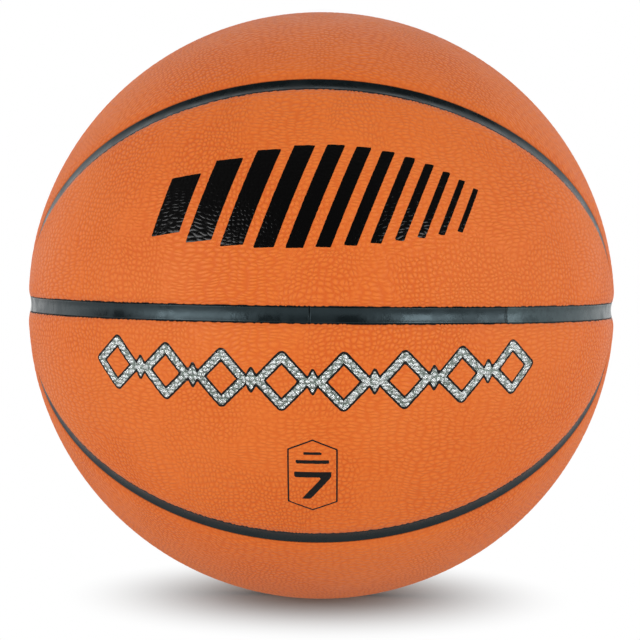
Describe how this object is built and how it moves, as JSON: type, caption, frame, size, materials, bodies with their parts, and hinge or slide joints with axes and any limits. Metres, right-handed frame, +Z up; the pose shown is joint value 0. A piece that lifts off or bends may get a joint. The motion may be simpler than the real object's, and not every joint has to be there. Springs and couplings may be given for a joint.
{
  "type": "basketball",
  "caption": "Inflated indoor ball with a pebbled composite-leather cover in panels, black rubber channels between them, a wound carcass, a bladder and a needle valve.",
  "frame": {"origin": "centre of the ball", "axes": "+Z up as the ball lies in the picture, with the equator channel level in the plane z = 0; -Y towards the viewer, at the middle of the front oval; the meridian channel in the plane y = 0; the valve is on the +Y side, in the plane x = 0"},
  "size_m": [0.241, 0.2414, 0.2414],
  "materials": {
    "cover_leather": "pebbled composite leather, satin",
    "strip_rubber": "smooth, semi-gloss",
    "carcass_rubber": "matte",
    "thread": "bonded nylon thread",
    "bladder_rubber": "matte butyl",
    "valve_rubber": "smooth, satin"
  },
  "bodies": {
    "root": {"bladder": "bladder_rubber", "valve_housing": "bladder_rubber", "valve": "valve_rubber", "winding": "thread", "carcass": "carcass_rubber", "strip_equator": "strip_rubber", "strip_meridian_upper": "strip_rubber", "strip_meridian_lower": "strip_rubber", "strip_oval_front_upper": "strip_rubber", "strip_oval_front_lower": "strip_rubber", "strip_oval_back_upper": "strip_rubber", "strip_oval_back_lower": "strip_rubber", "panel_front_upper": "cover_leather", "panel_front_lower": "cover_leather", "panel_back_upper": "cover_leather", "panel_back_lower": "cover_leather", "arch_panel_front_upper": "cover_leather", "arch_panel_front_lower": "cover_leather", "arch_panel_back_upper": "cover_leather", "arch_panel_back_lower": "cover_leather"}
  },
  "joints": []
}
